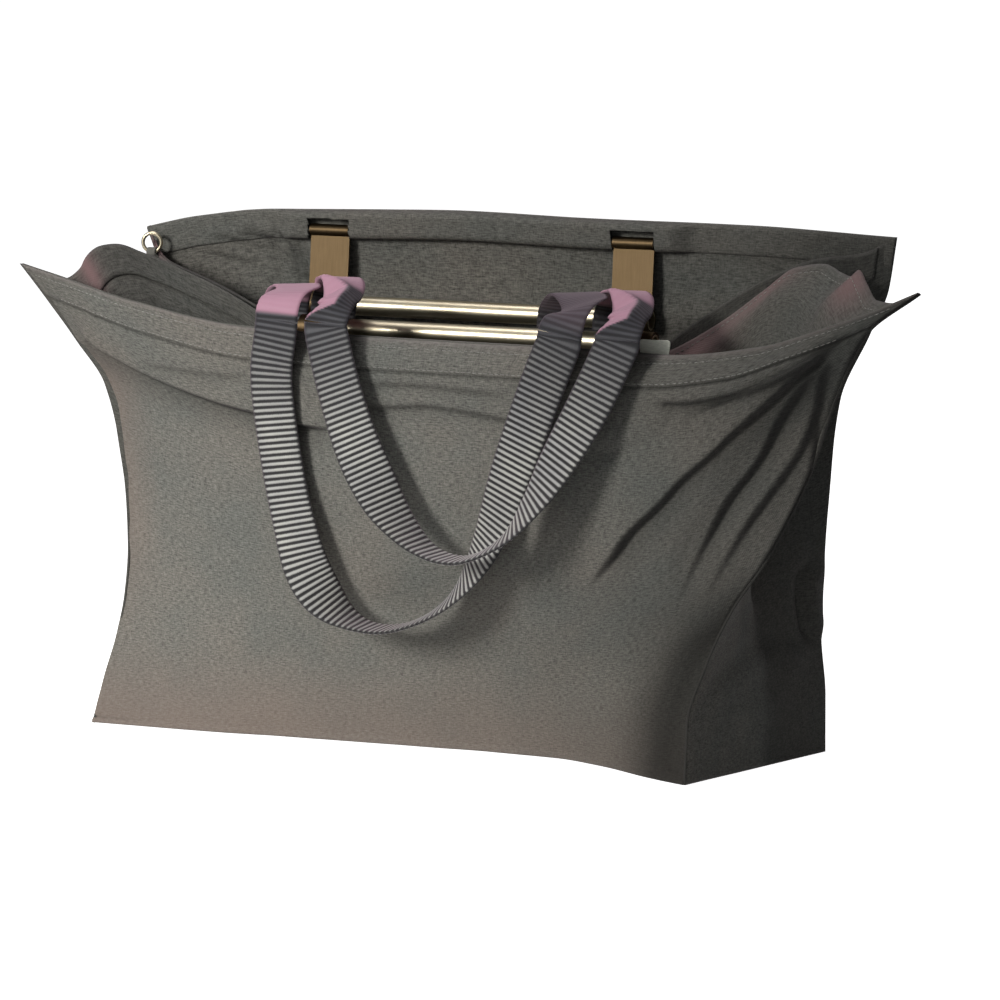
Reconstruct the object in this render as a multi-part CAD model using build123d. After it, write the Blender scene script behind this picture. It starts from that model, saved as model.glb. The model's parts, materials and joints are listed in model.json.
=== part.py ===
from build123d import *
import os
from math import sin, cos, pi, radians, hypot

# Shopping and knitting tote with two fold-out hanger bows.
# Millimetres, +Z up.  The origin is on the floor, at the middle of the base; +X runs along the
# width of the bag, -Y is its front.

# ---- fabric ----
wall = 1.6                    # front, back and side panels
floor_wall = 2.0              # bottom panel
hem_layer = 1.2               # turned-in layer of the hem
sewing_gap = 0.3              # between two sewn pieces

# ---- base ----
base_front_width = 350.0
base_back_width = 394.0
base_back_shift = 15.0        # the back edge of the base lies this far to the right of the front edge
base_depth = 96.0
base_left_back = 5.0          # the front edge is turned: its left end lies further back
base_right_forward = 9.0      # and its right end further forward
base_front_hollow = 29.0      # how far the front edge is drawn in between its ends
base_hollow_power = 1.8       # the deepest point of that hollow lies right of the middle
base_hollow_fade = 2.5        # how soon, going up, the front wall leaves the hollow
board_thickness = 3.0
board_inset = 9.0             # from the outline of the base to the edge of the stiffening board

# ---- height: the rim rises from the front left corner round to the back right one ----
bag_height = 246.0            # floor to the front left corner
front_right_lift = 7.0
back_left_lift = 15.0
back_right_lift = 26.0

# ---- front wall ----
front_left_rim_x = -221.0
front_right_rim_x = 288.0
front_tip_y = -32.0
front_rim_bow = 38.0          # the rim bows out from the line between its two tips
front_rim_sag = 28.0          # and sinks below that line
front_bow_power = 1.6         # how late, going up, the wall bows out
front_belly = 7.0             # extra swelling, most of it below half height
belly_power = 0.8
front_left_waist = 50.0       # the corner seams are drawn in by this, most of it above half height
front_right_waist = 16.0
left_waist_power = 1.3
right_waist_power = 0.8
front_seam_swell = 11.5       # and come forward, most of it just below the rim

# ---- back wall ----
back_left_rim_x = -187.0
back_right_rim_x = 248.0
back_rim_y = 50.0
back_rim_crown = 9.0
back_belly = 2.0
back_left_waist = 31.0
back_right_waist = 18.0

rim_flatness = 4.0            # exponent: how square the curve of both rims is

# ---- how closely the fabric's faces follow their formulas ----
panel_columns = 14
gusset_columns = 18
panel_rows = 7
hem_columns = 10
hem_rows = 2
face_tolerance = 0.1
outline_steps = 10            # along the drawn-in front edge of the base

# ---- side gussets, folded inwards ----
left_fold_depth = 125.0
right_fold_depth = 132.0
left_fold_drop = 41.0         # the fold's top lies this far below the corners
right_fold_drop = 53.0
fold_narrowness = 1.2         # exponents: how narrow the fold is, and how late, going up, it grows
fold_growth = 2.0
fold_forward = 6.0

# ---- hem and rod casings ----
hem_height = 15.0
hem_top_share = 0.998         # height share at which the turned-in layer ends
hem_end_share = 0.03          # width share left free at the corners of the walls
gusset_hem_legs = [0.06, 0.4]  # width shares between which the band lies on the front leg
hem_rod_radius = 2.0
running_clearance = 0.05
barrel_wall = 1.2
notch_clearance = 0.4
notch_side_clearance = 0.6
casing_web = 1.4
casing_edge_radius = 1.2
casing_end_margin = 11.0
casing_below_rim = 0.5
casing_lean_cosine = 0.97     # of the wall's lean at the rim
casing_to_hem = 9.0           # the turned-in layer fades out before the casing
rod_end_margin = 2.0

# ---- hanger bows ----
bow_width = 200.0
bow_tube_radius = 5.25
bow_tube_wall = 1.0
bow_arm_length = 40.0         # hem rod to tube, centre to centre
arm_width = 23.0
arm_thickness = 1.2
front_bow_x = 44.0
rear_bow_x = 17.0
front_bow_angle = 9.0         # above the horizontal, pointing into the bag
rear_bow_angle = -84.0        # hangs down, just clear of the back wall

# ---- handles: flat webbing ----
webbing_width = 24.0
webbing_thickness = 2.4
hinge_out = 15.0              # the line where the handles turn, in front of the rim
hinge_above_rim = 8.0
hinge_gap = 0.8               # between the still and the turning webbing
hinge_fold = 0.2              # the turning webbing is this much thicker, each side, at the hinge line
arch_height = 16.5            # top of the arch above the hinge line
arch_front_run = 22.0
arch_front_radius = 14.0
arch_back_radius = 24.0
leg_to_bow = 1.2              # the inner legs go down this far behind the front bow's sweep
front_handle_x = (-40.0, 118.0)
rear_handle_x = (-12.0, 149.0)
front_leg_turn_z = 160.0
front_sewn_top_z = 112.0
front_sewn_bottom_z = 78.0
rear_leg_dip_z = 138.0
rear_sewn_top_z = 200.0
leg_turn_radius = 20.0
sewn_gap = 0.5

front_loop_drop = 158.5
rear_loop_drop = 113.5

# Hanging loops, from the left leg round to the right one: share of the way from leg to leg,
# distance in front of the hinge line, share of the loop's drop, and the turn of the webbing
# (0 faces the front, 90 is edge-on).
front_loop_route = (
    (-0.02, 0.0, 0.20, 0),
    (0.01, -1.5, 0.46, 0),
    (0.045, -4.0, 0.66, 4),
    (0.09, -7.0, 0.83, 26),
    (0.18, -9.0, 0.95, 60),
    (0.305, -10.0, 1.0, 90),
    (0.45, -10.0, 0.975, 98),
    (0.60, -8.0, 0.875, 118),
    (0.73, -5.0, 0.69, 150),
    (0.835, -2.0, 0.425, 172),
    (0.937, -0.5, 0.165, 180),
)
rear_loop_route = (
    (0.055, 5.0, 0.255, 0),
    (0.125, 10.0, 0.485, 8),
    (0.20, 14.0, 0.67, 28),
    (0.285, 17.0, 0.835, 56),
    (0.40, 19.0, 0.97, 84),
    (0.53, 20.0, 1.0, 96),
    (0.66, 19.0, 0.905, 114),
    (0.76, 17.0, 0.73, 140),
    (0.84, 13.0, 0.53, 164),
    (0.925, 7.0, 0.29, 178),
)

# ---- small pieces ----
label_width = 17.0
label_foot_width = 13.6
label_height = 14.0
label_stands = 6.0            # above the rim
label_thickness = 0.8
label_lean_room = 0.2         # the label stands upright behind the leaning hem
label_to_casing = 1.5
ring_radius = 5.1
ring_wire = 1.0
ring_drop = 8.0               # centre below the back left corner
ring_side = 9.0
ring_to_gusset = 4.3          # behind the side of the ring that is nearest the gusset
tab_gap = 1.1                 # between the tape and the leaning gusset
ring_turn = 14.0
tab_width = 6.0
tab_height = 6.0
tab_clearance = 0.25


def mix(a, b, share):
    return a + (b - a) * share


def plateau(share):
    """0 at both ends of a rim, 1 over most of its length."""
    return 1 - abs(2 * share - 1) ** rim_flatness


def ease(share):
    """Smooth step from 0 to 1."""
    share = min(max(share, 0), 1)
    return share * share * (3 - 2 * share)


# ---------------------------------------------------------------- the shape of the shell
def seam(base, rim, waist, waist_power=1.0, swell=0.0):
    """Corner seam from the base to the rim, as a function of height from 0 to 1."""
    def point(t):
        x = mix(base[0], rim[0], t) + waist * sin(pi * t ** waist_power)
        y = mix(base[1], rim[1], t) - swell * sin(pi * t ** 2)
        return Vector(x, y, mix(floor_wall + sewing_gap, rim[2], t))
    return point


front_y = -base_depth / 2
back_y = base_depth / 2
front_left_seam = seam(
    (-base_front_width / 2, front_y + base_left_back),
    (front_left_rim_x, front_tip_y, bag_height),
    front_left_waist,
    left_waist_power,
    front_seam_swell,
)
front_right_seam = seam(
    (base_front_width / 2, front_y - base_right_forward),
    (front_right_rim_x, front_tip_y, bag_height + front_right_lift),
    -front_right_waist,
    right_waist_power,
    front_seam_swell,
)
back_left_seam = seam(
    (base_back_shift - base_back_width / 2, back_y),
    (back_left_rim_x, back_rim_y, bag_height + back_left_lift),
    back_left_waist,
)
back_right_seam = seam(
    (base_back_shift + base_back_width / 2, back_y),
    (back_right_rim_x, back_rim_y, bag_height + back_right_lift),
    -back_right_waist,
)


def front_wall(u, t):
    """Outer face of the front panel."""
    point = mix(front_left_seam(t), front_right_seam(t), u)
    hollow = base_front_hollow * sin(pi * u ** base_hollow_power) * (1 - t) ** base_hollow_fade
    bow = front_rim_bow * ease(t) ** front_bow_power + front_belly * sin(pi * t ** belly_power)
    return point + Vector(0, hollow - bow * plateau(u), -front_rim_sag * t * plateau(u))


def back_wall(u, t):
    """Outer face of the back panel."""
    point = mix(back_left_seam(t), back_right_seam(t), u)
    return point + Vector(0, back_belly * sin(pi * t) * plateau(u), back_rim_crown * t * plateau(u))


def gusset(front_seam, back_seam, side, depth, drop):
    """Inner face of a side panel; it starts and ends on the inner faces of the two walls."""
    inset = Vector(0, wall + sewing_gap, 0)

    def point(u, t):
        straight = mix(front_seam(t) + inset, back_seam(t) - inset, u)
        fold = max(sin(pi * u), 0)
        inwards = depth * fold ** fold_narrowness
        return straight + Vector(-side * inwards, -fold_forward * fold, -drop * fold) * t ** fold_growth
    return point


def normal_at(surface, u, t):
    """Unit normal of a surface, along (direction of u) x (direction of t)."""
    step = 0.002
    u = min(max(u, step), 1 - step)
    t = min(max(t, step), 1 - step)
    along_u = surface(u + step, t) - surface(u - step, t)
    along_t = surface(u, t + step) - surface(u, t - step)
    return along_u.cross(along_t).normalized()


def smooth_face(surface, offset, u_range, t_range, columns, rows):
    """Smooth face through points of a surface, moved along its normal."""
    grid = []
    for i in range(columns + 1):
        u = mix(u_range[0], u_range[1], i / columns)
        heights = [mix(t_range[0], t_range[1], j / rows) for j in range(rows + 1)]
        grid.append([surface(u, t) + normal_at(surface, u, t) * offset for t in heights])
    return Face.make_surface_from_array_of_points(grid, tol=face_tolerance)


def sheet(surface, near, far, columns=panel_columns, rows=panel_rows, u_range=(0, 1), t_range=(0, 1)):
    """Closed sheet of fabric between two distances from a surface, measured along its normal."""
    first = smooth_face(surface, near, u_range, t_range, columns, rows)
    second = smooth_face(surface, far, u_range, t_range, columns, rows)
    rims = []
    for edge in first.edges():
        opposite = min(second.edges(), key=lambda other: (other @ 0.5 - edge @ 0.5).length)
        rims.append(Face.make_surface_from_curves(edge, opposite))
    return Solid(Shell([first, second] + rims))


def rim_share(surface, x):
    """Where along a wall, from 0 to 1, its rim passes a given x."""
    return (x - surface(0, 1).X) / (surface(1, 1).X - surface(0, 1).X)


def wall_y(surface, x, z):
    """y of a wall's outer face at a given x and z."""
    t = 0.5
    for _ in range(8):
        left, right = surface(0, t), surface(1, t)
        u = (x - left.X) / (right.X - left.X)
        foot, rim = surface(u, 0), surface(u, 1)
        t = (z - foot.Z) / (rim.Z - foot.Z)
    return surface(u, t).Y


def hem_share(surface):
    """Height share at which the hem begins."""
    return 1 - hem_height / surface(0.5, 1).Z


# ---------------------------------------------------------------- fabric pieces
front_panel = sheet(front_wall, -wall, 0)
back_panel = sheet(back_wall, 0, wall)
left_side = gusset(front_left_seam, back_left_seam, -1, left_fold_depth, left_fold_drop)
right_side = gusset(front_right_seam, back_right_seam, 1, right_fold_depth, right_fold_drop)
left_gusset = sheet(left_side, -wall, 0, gusset_columns)
right_gusset = sheet(right_side, 0, wall, gusset_columns)


def base_outline(inset):
    """Outline of the base at a distance inside its edge."""
    front_edge = [front_wall(i / outline_steps, 0) for i in range(outline_steps + 1)]
    front_points = [(p.X, p.Y + inset) for p in front_edge]
    front_points[0] = (front_edge[0].X + inset, front_edge[0].Y + inset)
    front_points[-1] = (front_edge[-1].X - inset, front_edge[-1].Y + inset)
    back_right = (back_right_seam(0).X - inset, back_y - inset)
    back_left = (back_left_seam(0).X + inset, back_y - inset)
    edges = [
        Spline(*front_points),
        Line(front_points[-1], back_right),
        Line(back_right, back_left),
        Line(back_left, front_points[0]),
    ]
    return make_face(Wire(edges))


bottom_panel = extrude(base_outline(0), floor_wall)
base_board = Pos(0, 0, floor_wall) * extrude(base_outline(board_inset), board_thickness)


# ---------------------------------------------------------------- hem, casings and hinge rods
barrel_bore = hem_rod_radius + running_clearance
barrel_radius = barrel_bore + barrel_wall
notch_radius = barrel_radius + notch_clearance
pivot_depth = notch_radius + casing_web        # from the casing's outer face to the hinge rod
casing_half_width = bow_width / 2 + casing_end_margin


def casing_place(surface, bow_x, inwards):
    """Hinge rod's height and y: the casing lies against the wall where that wall stands furthest in."""
    stations = [bow_x + share * casing_half_width for share in (-1, -0.5, 0, 0.5, 1)]
    rim_z = min(surface(rim_share(surface, x), 1).Z for x in stations) - casing_below_rim
    heights = (rim_z, rim_z - hem_height)
    furthest_in = max(inwards * wall_y(surface, x, z) for x in stations for z in heights)
    offset = wall / casing_lean_cosine + sewing_gap + pivot_depth
    return inwards * (furthest_in + offset), rim_z - hem_height / 2


front_pivot_y, front_pivot_z = casing_place(front_wall, front_bow_x, 1)
rear_pivot_y, rear_pivot_z = casing_place(back_wall, rear_bow_x, -1)


def bow_frame(y, z, bow_x):
    """Frame with its z axis along the hinge rod (+X) and its origin at the middle of the rod."""
    return Location(Plane(origin=(bow_x, y, z), x_dir=(0, 1, 0), z_dir=(1, 0, 0)))


def arm_offsets():
    """Middle of each arm, measured along the hinge rod."""
    reach = (bow_width - arm_width) / 2
    return (-reach, reach)


def rod_casing(inwards):
    """Sleeve in the hem that holds the hinge rod, with a notch for each arm of the bow."""
    depth = pivot_depth + barrel_radius
    middle = inwards * (barrel_radius - pivot_depth) / 2
    sleeve = Box(depth, hem_height, 2 * casing_half_width)
    sleeve = Pos(middle, 0, 0) * fillet(sleeve.edges().filter_by(Axis.Z), casing_edge_radius)
    sleeve -= Cylinder(barrel_bore, 2 * casing_half_width)
    notch_length = arm_width + 2 * notch_side_clearance
    behind_arm = arm_thickness / 2 + notch_clearance
    for offset in arm_offsets():
        sleeve -= Pos(0, 0, offset) * Cylinder(notch_radius, notch_length)
        open_side = Box(depth + behind_arm, 2 * hem_height, notch_length)
        sleeve -= Pos(inwards * (depth - behind_arm) / 2, 0, offset) * open_side
        sleeve -= Pos(0, -hem_height / 2, offset) * Box(2 * notch_radius, hem_height, notch_length)
    return sleeve


hinge_rod = Cylinder(hem_rod_radius, 2 * (casing_half_width - rod_end_margin))
front_place = bow_frame(front_pivot_y, front_pivot_z, front_bow_x)
rear_place = bow_frame(rear_pivot_y, rear_pivot_z, rear_bow_x)
front_rod_casing = front_place * rod_casing(1)
rear_rod_casing = rear_place * rod_casing(-1)
front_hem_rod = front_place * hinge_rod
rear_hem_rod = rear_place * hinge_rod


def side_hems(surface, inwards, bow_x):
    """Turned-in layer of the hem, left and right of the rod casing."""
    start = rim_share(surface, bow_x - casing_half_width - casing_to_hem)
    end = rim_share(surface, bow_x + casing_half_width + casing_to_hem)
    heights = (hem_share(surface), hem_top_share)
    near = inwards * (wall + sewing_gap)
    far = near + inwards * hem_layer
    left = sheet(surface, near, far, hem_columns, hem_rows, (hem_end_share, start), heights)
    right = sheet(surface, near, far, hem_columns, hem_rows, (end, 1 - hem_end_share), heights)
    return Compound([left, right])


front_hem = side_hems(front_wall, -1, front_bow_x)
back_hem = side_hems(back_wall, 1, rear_bow_x)


def gusset_hem(surface, outwards):
    """Turned-over band along both legs of a gusset's rim, on its outer face."""
    heights = (hem_share(surface), hem_top_share)
    near = outwards * (wall + sewing_gap)
    far = near + outwards * hem_layer
    legs = [gusset_hem_legs, [1 - share for share in reversed(gusset_hem_legs)]]
    return Compound([sheet(surface, near, far, hem_columns, hem_rows, leg, heights) for leg in legs])


# ---------------------------------------------------------------- hanger bows
def bow_arm(offset):
    """Flat strip curled round the hinge rod at one end and round the tube at the other."""
    tube_bore = bow_tube_radius + running_clearance
    tube_barrel = tube_bore + barrel_wall
    strip_length = bow_arm_length - barrel_radius / 2 - tube_barrel / 2
    strip = Pos((barrel_radius - tube_barrel) / 2 + bow_arm_length / 2, 0, 0)
    strip *= Box(strip_length, arm_thickness, arm_width)
    arm = strip + Cylinder(barrel_radius, arm_width)
    arm += Pos(bow_arm_length, 0, 0) * Cylinder(tube_barrel, arm_width)
    arm -= Cylinder(barrel_bore, arm_width)
    arm -= Pos(bow_arm_length, 0, 0) * Cylinder(tube_bore, arm_width)
    return Pos(0, 0, offset) * arm


def bow_tube():
    tube = Cylinder(bow_tube_radius, bow_width) - Cylinder(bow_tube_radius - bow_tube_wall, bow_width)
    return Pos(bow_arm_length, 0, 0) * tube


def bow(place, angle, mirrored):
    """The tube and the two arms of a bow, turned to its angle above the horizontal."""
    turn = place * Rot(0, 0, 180 - angle if mirrored else angle)
    left, right = [turn * bow_arm(offset) for offset in arm_offsets()]
    return turn * bow_tube(), left, right


front_bow_rod, front_arm_left, front_arm_right = bow(front_place, front_bow_angle, False)
rear_bow_rod, rear_arm_left, rear_arm_right = bow(rear_place, rear_bow_angle, True)


# ---------------------------------------------------------------- handles
strap_section = Rectangle(webbing_width, webbing_thickness)
rim_middle = front_wall(0.5, 1)
hinge_y = rim_middle.Y - hinge_out
hinge_z = rim_middle.Z + hinge_above_rim
bow_sweep = bow_arm_length + bow_tube_radius + running_clearance + barrel_wall
inner_leg_y = front_pivot_y + bow_sweep + leg_to_bow + webbing_thickness / 2


def swept_leg(x, points, radii):
    """Flat webbing along a bent line in a plane of constant x."""
    path = Wire(FilletPolyline(*[(x, y, z) for y, z in points], radius=radii))
    start = Plane(origin=path @ 0, x_dir=(1, 0, 0), z_dir=path % 0)
    return sweep(start * strap_section, path=path)


def arch_points():
    """Start of the still webbing: from the hinge line up over the rim and the front bow."""
    slope = hypot(arch_front_run, arch_height)
    first = webbing_thickness / 2 + hinge_gap
    start = (hinge_y + first * arch_front_run / slope, hinge_z + first * arch_height / slope)
    shoulder = (hinge_y + arch_front_run, hinge_z + arch_height)
    return [start, shoulder, (inner_leg_y, hinge_z + arch_height)]


def sewn_y(surface, inwards, x, z):
    """y at which webbing lies against the inside of a wall over its whole width."""
    edges = [x + share * webbing_width / 2 for share in (-1, 0, 1)]
    furthest_in = max(inwards * wall_y(surface, edge, z) for edge in edges)
    return inwards * (furthest_in + wall + sewn_gap + webbing_thickness / 2)


def front_handle_root(x):
    top_y = sewn_y(front_wall, 1, x, front_sewn_top_z)
    bottom_y = sewn_y(front_wall, 1, x, front_sewn_bottom_z)
    points = arch_points() + [
        (inner_leg_y, front_leg_turn_z),
        (top_y, front_sewn_top_z),
        (bottom_y, front_sewn_bottom_z),
    ]
    radii = [arch_front_radius, arch_back_radius, leg_turn_radius, leg_turn_radius]
    return swept_leg(x, points, radii)


def rear_handle_root(x):
    foot_y = min(sewn_y(back_wall, -1, x, z) for z in (rear_leg_dip_z, rear_sewn_top_z))
    points = arch_points() + [
        (inner_leg_y, rear_leg_dip_z),
        (foot_y, rear_leg_dip_z),
        (foot_y, rear_sewn_top_z),
    ]
    radii = [arch_front_radius, arch_back_radius, leg_turn_radius, leg_turn_radius]
    return swept_leg(x, points, radii)


def loop_sections(route, leg_x, loop_drop):
    """Cross-sections of a hanging loop: flat on the legs, edge-on at the bottom."""
    stations = [(0, 0, 0, 0)] + list(route) + [(1, 0, 0, 180)]
    centres = []
    for across, out, down, turn in stations:
        centres.append(Vector(mix(*leg_x, across), hinge_y - out, hinge_z - down * loop_drop))
    sections = []
    for i, centre in enumerate(centres):
        if 0 < i < len(centres) - 1:
            along = (centres[i + 1] - centres[i - 1]).normalized()
        else:
            along = Vector(0, 0, -1 if i == 0 else 1)
        turn = radians(stations[i][3])
        across = Vector(-cos(turn), -sin(turn), 0)
        across = (across - along * across.dot(along)).normalized()
        place = Plane(origin=centre, x_dir=across, z_dir=along)
        sections.append((place * strap_section).wire())
    return sections


def hanging_loop(route, leg_x, loop_drop):
    """Turning part of a handle: down one leg, round the bottom, and up the other leg."""
    sections = loop_sections(route, leg_x, loop_drop)
    half = len(sections) // 2
    loop = Solid.make_loft(sections[:half + 1]) + Solid.make_loft(sections[half:])
    for x in leg_x:
        fold = Cylinder(webbing_thickness / 2 + hinge_fold, webbing_width)
        loop += Pos(x, hinge_y, hinge_z) * Rot(0, 90, 0) * fold
    return loop


# ---------------------------------------------------------------- label and ring
label_x = front_bow_x + casing_half_width + label_to_casing + label_width / 2


def rim_label():
    """Blank woven tab sewn inside the front hem; it narrows towards its foot."""
    rim = front_wall(rim_share(front_wall, label_x), 1)
    top = rim.Z + label_stands
    shape = Polygon(
        (-label_width / 2, 0),
        (label_width / 2, 0),
        (label_foot_width / 2, -label_height),
        (-label_foot_width / 2, -label_height),
        align=None,
    )
    stand_off = wall + 2 * sewing_gap + hem_layer + label_lean_room + label_thickness / 2
    place = Plane(origin=(label_x, rim.Y + stand_off, top), x_dir=(1, 0, 0), z_dir=(0, -1, 0))
    return extrude(place * shape, label_thickness / 2, both=True)


def gusset_face_y(x, z_share):
    """y of the left gusset's outer face on its back leg, at a given x, by halving."""
    low, high = 0.5, 1.0
    for _ in range(30):
        middle = (low + high) / 2
        if left_side(middle, z_share).X > x:
            low = middle
        else:
            high = middle
    return (left_side(low, z_share) - normal_at(left_side, low, z_share) * wall).Y


corner = back_left_seam(1)
ring_x = corner.X + ring_side
ring_z_share = 1 - ring_drop / corner.Z
ring_nearest_x = ring_x + ring_radius + ring_wire
ring_y = gusset_face_y(ring_nearest_x, ring_z_share) - ring_to_gusset
ring_centre = Vector(ring_x, ring_y, corner.Z - ring_drop)
ring_place = Pos(*ring_centre) * Rot(0, 0, ring_turn) * Rot(90, 0, 0)
corner_ring = ring_place * Torus(ring_radius, ring_wire)


def ring_holder():
    """Folded tape sewn to the corner of the gusset; the ring passes through its loop."""
    front = ring_centre.Y - tab_width / 2
    foot = ring_centre.Z - ring_radius - tab_height / 2
    sides = (ring_x - tab_width / 2, ring_x + tab_width / 2)
    heights = (foot / corner.Z, (foot + tab_height) / corner.Z)
    back = [min(gusset_face_y(x, share) for share in heights) - tab_gap for x in sides]
    outline = Polygon((sides[0], front), (sides[1], front), (sides[1], back[1]), (sides[0], back[0]), align=None)
    tape = extrude(Pos(0, 0, foot) * outline, tab_height)
    return tape - ring_place * Torus(ring_radius, ring_wire + tab_clearance)


parts = {
    "front_panel": front_panel,
    "back_panel": back_panel,
    "left_gusset": left_gusset,
    "right_gusset": right_gusset,
    "bottom_panel": bottom_panel,
    "base_board": base_board,
    "front_hem": front_hem,
    "back_hem": back_hem,
    "left_gusset_hem": gusset_hem(left_side, -1),
    "right_gusset_hem": gusset_hem(right_side, 1),
    "front_rod_casing": front_rod_casing,
    "rear_rod_casing": rear_rod_casing,
    "front_hem_rod": front_hem_rod,
    "rear_hem_rod": rear_hem_rod,
    "front_bow_rod": front_bow_rod,
    "front_arm_left": front_arm_left,
    "front_arm_right": front_arm_right,
    "rear_bow_rod": rear_bow_rod,
    "rear_arm_left": rear_arm_left,
    "rear_arm_right": rear_arm_right,
    "front_handle_roots": Compound([front_handle_root(x) for x in front_handle_x]),
    "rear_handle_roots": Compound([rear_handle_root(x) for x in rear_handle_x]),
    "front_handle_loop": hanging_loop(front_loop_route, front_handle_x, front_loop_drop),
    "rear_handle_loop": hanging_loop(rear_loop_route, rear_handle_x, rear_loop_drop),
    "rim_label": rim_label(),
    "corner_ring": corner_ring,
    "ring_tab": ring_holder(),
}

os.makedirs("parts", exist_ok=True)
for node, shape in parts.items():
    export_step(shape, f"parts/{node}.step")

print("front hinge rod", round(front_pivot_y, 3), round(front_pivot_z, 3))
print("rear hinge rod", round(rear_pivot_y, 3), round(rear_pivot_z, 3))
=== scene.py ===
import json
import math
import random
import bmesh
import bpy
import numpy as np
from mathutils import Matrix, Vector


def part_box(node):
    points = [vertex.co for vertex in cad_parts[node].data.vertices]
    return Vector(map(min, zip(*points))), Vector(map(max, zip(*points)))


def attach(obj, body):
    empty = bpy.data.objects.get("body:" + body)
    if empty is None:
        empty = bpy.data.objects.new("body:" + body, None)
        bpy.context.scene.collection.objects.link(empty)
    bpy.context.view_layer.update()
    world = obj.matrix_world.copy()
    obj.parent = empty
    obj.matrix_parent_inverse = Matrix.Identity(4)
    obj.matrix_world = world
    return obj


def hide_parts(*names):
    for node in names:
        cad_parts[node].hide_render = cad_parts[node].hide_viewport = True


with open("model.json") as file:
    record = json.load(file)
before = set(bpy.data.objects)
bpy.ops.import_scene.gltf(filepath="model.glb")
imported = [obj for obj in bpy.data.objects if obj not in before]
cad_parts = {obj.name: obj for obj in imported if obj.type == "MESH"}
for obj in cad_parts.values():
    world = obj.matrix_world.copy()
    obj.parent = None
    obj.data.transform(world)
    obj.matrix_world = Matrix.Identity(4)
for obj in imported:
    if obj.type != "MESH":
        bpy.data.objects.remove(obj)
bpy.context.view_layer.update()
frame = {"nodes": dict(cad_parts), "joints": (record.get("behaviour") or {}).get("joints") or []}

MM = 0.001
CLOTH = 1.3 * MM              # thickness of the canvas
WEFT_PITCH, WARP_PITCH = 1.15 * MM, 1.05 * MM
rng = random.Random(7)

# ---- places taken from the frame ----
front_low, front_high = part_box("front_panel")
back_low, back_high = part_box("back_panel")
joints = {joint["name"]: joint for joint in frame["joints"]}
handle_hinge = Vector(joints["front_handle_swing"]["pos_m"])


def box_mm(name):
    return [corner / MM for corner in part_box(name)]


# ---- small helpers ----
def mix(a, b, share):
    return a + (b - a) * share


def step(low, high, x):
    """Smooth step from 0 at low to 1 at high."""
    share = np.clip((np.asarray(x, float) - low) / (high - low), 0, 1)
    return share * share * (3 - 2 * share)


def bump(x, middle, width):
    return np.exp(-((np.asarray(x, float) - middle) / width) ** 2)


def unit(vectors):
    return vectors / np.linalg.norm(vectors, axis=-1, keepdims=True)


def arc_length(line):
    """Length of a line from its first point to each of its points."""
    return np.r_[0, np.cumsum(np.linalg.norm(np.diff(line, axis=0), axis=1))]


def through(pairs, s):
    """Smooth curve through (place, value) pairs; it never overshoots them."""
    place = np.array([p[0] for p in pairs], float)
    value = np.array([p[1:] for p in pairs], float)
    gap = np.diff(place)[:, None]
    slope = np.diff(value, axis=0) / gap
    tangent = np.zeros_like(value)
    product = slope[:-1] * slope[1:]
    total = slope[:-1] + slope[1:]
    safe = np.where(np.abs(total) > 1e-12, total, 1)
    tangent[1:-1] = np.where(product > 0, 2 * product / safe, 0)
    tangent[0], tangent[-1] = slope[0], slope[-1]
    s = np.asarray(s, float)
    i = np.clip(np.searchsorted(place, s, side="right") - 1, 0, len(gap) - 1)
    x = ((s - place[i]) / gap[i, 0])[..., None]
    h = gap[i]
    a = (1 + 2 * x) * (1 - x) ** 2 * value[i] + x * (1 - x) ** 2 * h * tangent[i]
    b = x * x * (3 - 2 * x) * value[i + 1] - x * x * (1 - x) * h * tangent[i + 1]
    return (a + b)[..., 0] if value.shape[-1] == 1 else a + b


def dense(points, steps=10):
    """Rounded line through given points (Catmull-Rom)."""
    p = np.array(points, float)
    p = np.vstack([2 * p[0] - p[1], p, 2 * p[-1] - p[-2]])
    out = []
    for i in range(1, len(p) - 2):
        for k in range(steps):
            t = k / steps
            out.append(0.5 * (2 * p[i] + (p[i + 1] - p[i - 1]) * t
                              + (2 * p[i - 1] - 5 * p[i] + 4 * p[i + 1] - p[i + 2]) * t ** 2
                              + (3 * p[i] - p[i - 1] - 3 * p[i + 1] + p[i + 2]) * t ** 3))
    out.append(p[-2])
    return np.array(out)


def distance_to(line, x, z):
    """Signed distance from points to a line, and the share of the way along it."""
    best = np.full(x.shape, 1e9)
    signed = np.zeros(x.shape)
    along = np.zeros(x.shape)
    lengths = np.r_[0, np.cumsum(np.hypot(*np.diff(line, axis=0).T))]
    for i in range(len(line) - 1):
        a, d = line[i], line[i + 1] - line[i]
        t = np.clip(((x - a[0]) * d[0] + (z - a[1]) * d[1]) / (d @ d), 0, 1)
        dx, dz = x - a[0] - t * d[0], z - a[1] - t * d[1]
        dist = np.hypot(dx, dz)
        near = dist < best
        best = np.where(near, dist, best)
        signed = np.where(near, dist * np.sign(d[0] * dz - d[1] * dx), signed)
        along = np.where(near, (lengths[i] + t * (lengths[i + 1] - lengths[i])) / lengths[-1], along)
    return signed, along


def faded(share, fade):
    """1 along a fold, and 0 at both of its ends."""
    return step(0, fade[0], share) * (1 - step(1 - fade[1], 1, share))


def fold(x, z, points, depth, width, ridge=0.0, side=1.0, fade=(0.2, 0.3)):
    """A pulled fold in millimetres: a valley along the line with a soft ridge beside it."""
    d, share = distance_to(dense(points, 6), x, z)
    valley = depth * np.exp(-(d / width) ** 2)
    crest = ridge * np.exp(-((d - side * 1.7 * width) / (1.3 * width)) ** 2)
    return faded(share, fade) * (crest - valley)


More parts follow.
